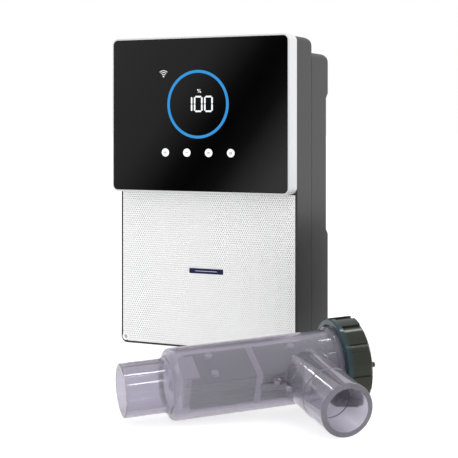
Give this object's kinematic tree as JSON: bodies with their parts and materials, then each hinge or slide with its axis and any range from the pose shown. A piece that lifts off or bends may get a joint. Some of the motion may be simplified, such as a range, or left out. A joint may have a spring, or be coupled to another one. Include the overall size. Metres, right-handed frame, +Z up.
{
  "type": "salt chlorine generator",
  "caption": "Pool salt chlorine generator: wall-type control unit with glass display and dimpled cover, and a clear cell with inlet spigot, side outlet, plates and union nut.",
  "frame": {"origin": "centre of the control unit's flat base", "axes": "+Z up, +Y from the display to the wall, +X to the right seen from the front; the cell lies in front on the same surface"},
  "size_m": [0.4375, 0.4872, 0.3824],
  "materials": {
    "dark_shell": "fine moulded grain",
    "white_cover": "satin, dimpled",
    "bezel_white": "satin",
    "black_glass": "gloss",
    "badge_blue": "satin",
    "steel": "zinc plated",
    "seal_rubber": "matt",
    "circuit_green": "solder resist",
    "lamp_blue": "lit",
    "lamp_white": "lit",
    "core_steel": "laminated",
    "coil_copper": "lacquered copper",
    "sink_alu": "extruded",
    "black_part": "moulded",
    "relay_blue": "moulded",
    "terminal_green": "moulded",
    "cable_grey": "flat cable",
    "clear_violet": "clear, smoky",
    "nut_green": "moulded",
    "head_white": "moulded",
    "titanium": "coated titanium",
    "comb_white": "moulded",
    "stud_bronze": "tarnished"
  },
  "bodies": {
    "control_unit": {"board_screws": "steel", "board_standoffs": "steel", "bracket_screws": "steel", "capacitors": "black_part", "casing_gasket": "seal_rubber", "casing_screws": "steel", "cell_terminals": "terminal_green", "cover_gasket": "seal_rubber", "digit_display": "lamp_white", "display_bezel": "bezel_white", "display_board": "circuit_green", "display_glass": "black_glass", "display_screws": "steel", "front_casing": "dark_shell", "fuse_holder": "black_part", "gland_bodies": "dark_shell", "gland_caps": "dark_shell", "gland_locknuts": "dark_shell", "gland_seals": "seal_rubber", "heat_sink": "sink_alu", "mains_terminals": "terminal_green", "power_board": "circuit_green", "rear_housing": "dark_shell", "rectifier": "black_part", "relays": "relay_blue", "ribbon_cable": "cable_grey", "ring_light_guide": "lamp_blue", "signal_terminals": "terminal_green", "switch_frame": "black_part", "terminal_board": "circuit_green", "terminal_posts": "steel", "touch_keys": "lamp_white", "transformer_coil": "coil_copper", "transformer_core": "core_steel", "transformer_screws": "steel", "wall_bracket": "steel", "wifi_lamp": "lamp_white"},
    "service_cover": {"lower_cover": "white_cover", "cover_badge": "badge_blue", "cover_screws": "steel"},
    "rocker": {"power_rocker": "black_part"},
    "cell": {"cell_housing": "clear_violet"},
    "electrode": {"electrode_head": "head_white", "head_o_ring": "seal_rubber", "terminal_studs": "stud_bronze", "terminal_nuts": "steel", "terminal_washers": "steel", "flow_probe": "stud_bronze", "anode_plates": "titanium", "cathode_plates": "titanium", "anode_busbar": "titanium", "cathode_busbar": "titanium", "spacer_bolts": "comb_white", "spacer_nuts": "comb_white", "plate_spacers": "comb_white", "centre_band": "comb_white", "end_comb": "comb_white", "head_comb": "comb_white"},
    "nut_carrier": {"thrust_washer": "comb_white"},
    "nut": {"union_nut": "nut_green"}
  },
  "joints": [
    {"name": "cell_place", "type": "slide", "parent": "control_unit", "child": "cell", "axis": [0, -1, 0], "range_m": [0, 0.1]},
    {"name": "electrode_draw", "type": "slide", "parent": "cell", "child": "electrode", "axis": [0.7382, 0.6717, 0.0624], "range_m": [0, 0.18]},
    {"name": "nut_advance", "type": "slide", "parent": "electrode", "child": "nut_carrier", "axis": [0.7382, 0.6717, 0.0624], "range_m": [0, 0.0182]},
    {"name": "nut_turn", "type": "hinge", "parent": "nut_carrier", "child": "nut", "pos_m": [0.2564, -0.27023, 0.0441], "axis": [0.7382, 0.6717, 0.0624], "range_deg": [0, 1620]},
    {"name": "cover_release", "type": "slide", "parent": "control_unit", "child": "service_cover", "axis": [0, -1, 0], "range_m": [0, 0.03]},
    {"name": "power_rocker", "type": "hinge", "parent": "control_unit", "child": "rocker", "pos_m": [-0.06, 0.0301, 0.034], "axis": [0, 1, 0], "range_deg": [0, 20]}
  ],
  "couplings": [
    {"joint": "nut_advance", "follows": "nut_turn", "m_per_rad": 0.00063662}
  ]
}
